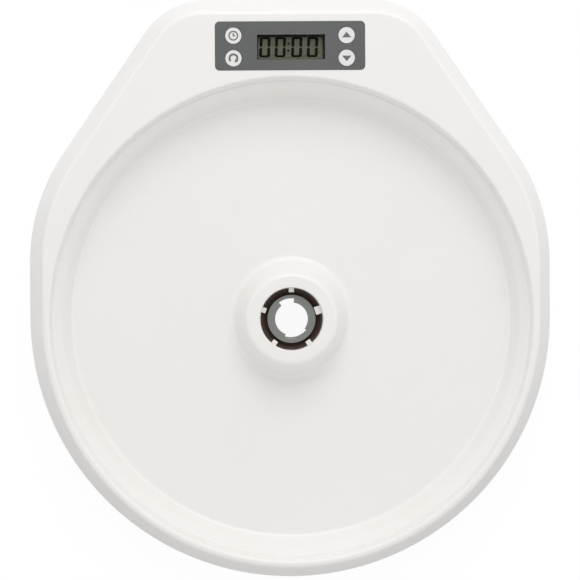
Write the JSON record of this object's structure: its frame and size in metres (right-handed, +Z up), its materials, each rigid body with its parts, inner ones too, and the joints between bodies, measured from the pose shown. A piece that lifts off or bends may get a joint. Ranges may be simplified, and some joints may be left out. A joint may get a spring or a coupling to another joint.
{
  "type": "automatic pet feeder base",
  "caption": "Low white base of a rotating pet feeder: round tray recess, conical hub with a motor-driven collar, and a rear panel with display and keys.",
  "frame": {"origin": "centre of the bounding box in plan, on the plane that the feet stand on", "axes": "+Z up, +Y towards the rear where the control panel is, +X to the right seen from the front; the hub's axis stands 17.5 mm in front of the origin"},
  "size_m": [0.32, 0.355, 0.052],
  "materials": {
    "white_shell": "satin moulded ABS",
    "white_inner": "moulded ABS",
    "dark_brown": "moulded",
    "mid_grey": "moulded",
    "natural_acetal": "moulded",
    "brass": "turned",
    "steel": "plain",
    "zinc_screw": "zinc plated",
    "motor_steel": "drawn can",
    "black_plastic": "moulded",
    "film_grey": "satin film",
    "key_plastic": "moulded",
    "plunger_plastic": "moulded",
    "board_green": "solder mask",
    "gearbox_grey": "moulded",
    "display": "grey-green reflective display",
    "holder_white": "moulded",
    "zebra": "layered silicone",
    "clear_window": "clear",
    "cell_wrap": "plain printed wrap",
    "foot_rubber": "soft",
    "wire_black": "insulated wire",
    "wire_red": "insulated wire",
    "cable_grey": "sheathed cable"
  },
  "bodies": {
    "base": {"battery_bay": "white_inner", "battery_cells": "cell_wrap", "battery_lead_black": "wire_black", "battery_lead_red": "wire_red", "bay_screws": "zinc_screw", "board_components": "black_plastic", "board_screws": "zinc_screw", "bottom_cover": "white_shell", "contact_plates": "steel", "control_board": "board_green", "controller_chip": "black_plastic", "front_spring": "steel", "gear_axles": "steel", "gearbox_plate": "gearbox_grey", "gearbox_screws": "zinc_screw", "housing_screws": "zinc_screw", "lcd_glass": "display", "lcd_holder": "holder_white", "lcd_window": "clear_window", "motor_can": "motor_steel", "motor_cap": "black_plastic", "motor_lead_black": "wire_black", "motor_lead_red": "wire_red", "panel_overlay": "film_grey", "position_sensor": "black_plastic", "rear_spring": "steel", "rubber_feet": "foot_rubber", "sensor_board": "board_green", "sensor_cable": "cable_grey", "tact_switches": "black_plastic", "upper_housing": "white_shell", "zebra_strips": "zebra"},
    "drive": {"drive_tube": "dark_brown", "ring_gear": "natural_acetal", "tray_socket": "mid_grey"},
    "final_gear": {"final_gear": "natural_acetal"},
    "first_gear": {"first_gear": "natural_acetal"},
    "motor_rotor": {"motor_shaft": "steel", "motor_pinion": "brass"},
    "battery_door": {"battery_door": "white_inner"},
    "key_clock": {"button_clock": "key_plastic", "plunger_clock": "plunger_plastic"},
    "key_turn": {"button_turn": "key_plastic", "plunger_turn": "plunger_plastic"},
    "key_up": {"button_up": "key_plastic", "plunger_up": "plunger_plastic"},
    "key_down": {"button_down": "key_plastic", "plunger_down": "plunger_plastic"}
  },
  "joints": [
    {"name": "drive_spin", "type": "hinge", "parent": "base", "child": "drive", "pos_m": [0, -0.0175, 0.03], "axis": [0, 0, 1], "continuous": true},
    {"name": "final_gear_spin", "type": "hinge", "parent": "base", "child": "final_gear", "pos_m": [0.048, -0.0175, 0.01], "axis": [0, 0, 1], "continuous": true},
    {"name": "first_gear_spin", "type": "hinge", "parent": "base", "child": "first_gear", "pos_m": [0.0655, -0.0175, 0.01], "axis": [0, 0, 1], "continuous": true},
    {"name": "motor_spin", "type": "hinge", "parent": "base", "child": "motor_rotor", "pos_m": [0.0742, -0.03257, 0.01], "axis": [0, 0, 1], "continuous": true},
    {"name": "battery_door_hinge", "type": "hinge", "parent": "base", "child": "battery_door", "pos_m": [0, 0.1109, 0.0032], "axis": [-1, 0, 0], "range_deg": [0, 95]},
    {"name": "key_clock_press", "type": "slide", "parent": "base", "child": "key_clock", "axis": [0, 0, -1], "range_m": [0, 0.0005], "stiffness_N_per_m": 400},
    {"name": "key_turn_press", "type": "slide", "parent": "base", "child": "key_turn", "axis": [0, 0, -1], "range_m": [0, 0.0005], "stiffness_N_per_m": 400},
    {"name": "key_up_press", "type": "slide", "parent": "base", "child": "key_up", "axis": [0, 0, -1], "range_m": [0, 0.0005], "stiffness_N_per_m": 400},
    {"name": "key_down_press", "type": "slide", "parent": "base", "child": "key_down", "axis": [0, 0, -1], "range_m": [0, 0.0005], "stiffness_N_per_m": 400}
  ],
  "couplings": [
    {"joint": "final_gear_spin", "follows": "drive_spin", "ratio": -7},
    {"joint": "first_gear_spin", "follows": "drive_spin", "ratio": 28},
    {"joint": "motor_spin", "follows": "drive_spin", "ratio": -134.4}
  ]
}
